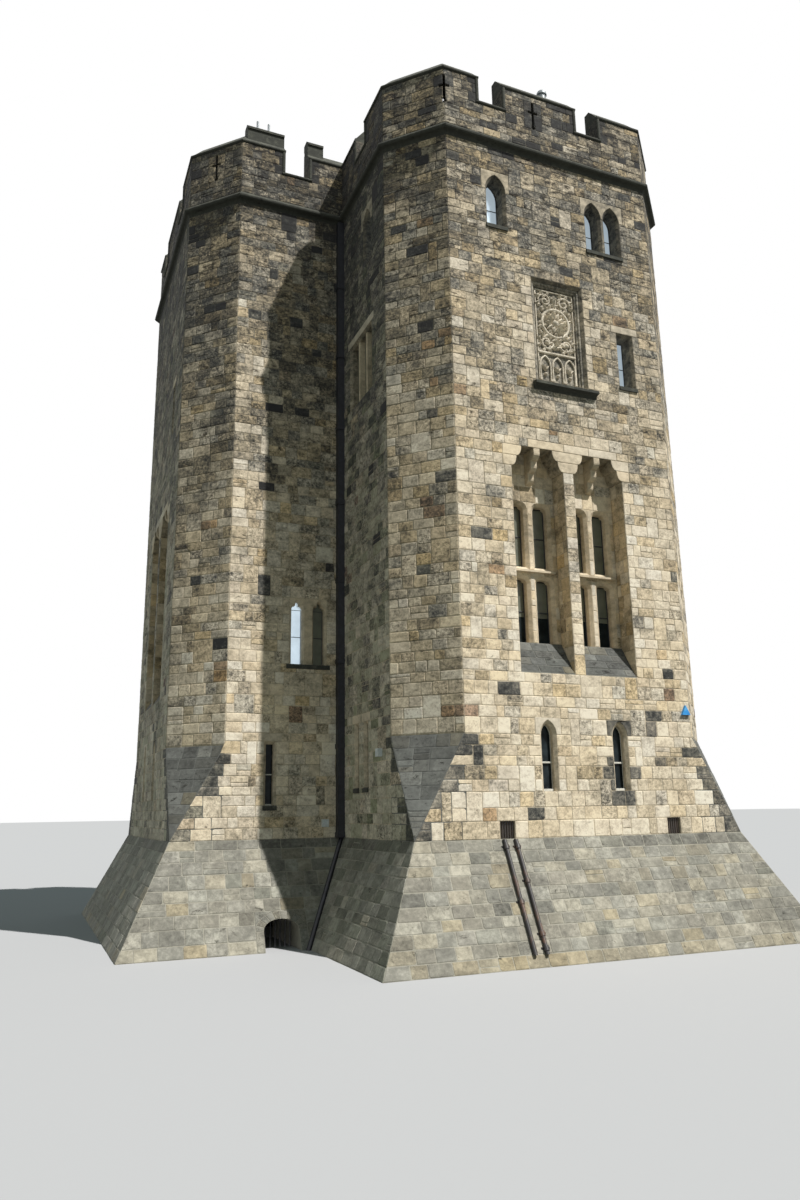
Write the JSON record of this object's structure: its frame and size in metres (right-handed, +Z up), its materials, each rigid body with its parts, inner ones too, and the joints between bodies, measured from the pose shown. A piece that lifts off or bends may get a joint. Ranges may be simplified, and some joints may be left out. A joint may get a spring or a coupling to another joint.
{
  "type": "castle keep",
  "caption": "Stone castle keep of two interlocking square towers with a battered plinth, hall windows, string course and crenellated battlements.",
  "frame": {"origin": "middle of the footprint at ground level", "axes": "+Z up, +Y into the front face, +X to the right seen from the front"},
  "size_m": [19.22, 19.52, 29.16],
  "materials": {
    "plinth_stone": "weathered squared sandstone",
    "sandstone": "weathered squared sandstone",
    "dark_stone": "dark weathered sandstone",
    "dressed_stone": "dressed sandstone",
    "panel_stone": "carved sandstone",
    "floor_stone": "flagstones",
    "roof_stone": "roof flags",
    "floor_timber": "oak boards on joists",
    "glass": "leaded window glass",
    "iron": "painted iron",
    "pipe": "weathered pipe",
    "flue_metal": "brushed",
    "alarm_paint": "painted",
    "lamp_metal": "galvanised"
  },
  "bodies": {
    "root": {"front_back_plinth": "plinth_stone", "side_plinth": "plinth_stone", "set_back_plinth": "plinth_stone", "return_plinth": "plinth_stone", "front_wall": "sandstone", "right_wall": "sandstone", "right_return_wall": "sandstone", "rear_side_wall": "sandstone", "back_wall": "sandstone", "left_wall": "sandstone", "set_back_wall": "sandstone", "return_wall": "sandstone", "corner_stops": "dark_stone", "string_course": "sandstone", "front_back_parapets": "sandstone", "side_parapets": "sandstone", "set_back_parapets": "sandstone", "return_parapets": "sandstone", "merlon_copings": "dark_stone", "crenel_sills": "dark_stone", "crenel_jambs": "dark_stone", "raised_blocks": "dark_stone", "roof_flues": "flue_metal", "basement_slab": "floor_stone", "ground_floor": "floor_stone", "hall_floor": "floor_timber", "upper_floor": "floor_timber", "top_floor": "floor_timber", "roof_deck": "roof_stone", "hall_windows": "dressed_stone", "hall_sills": "dark_stone", "hall_brackets": "dressed_stone", "hall_glass": "glass", "lower_glass": "glass", "upper_glass": "glass", "three_light_windows": "dressed_stone", "cusped_windows": "dressed_stone", "window_sills": "dark_stone", "relief_panel": "panel_stone", "panel_ledge": "dressed_stone", "downpipes": "iron", "waste_pipes": "pipe", "arch_bars": "iron", "alarm_box": "alarm_paint", "wall_lamps": "lamp_metal"}
  },
  "joints": []
}
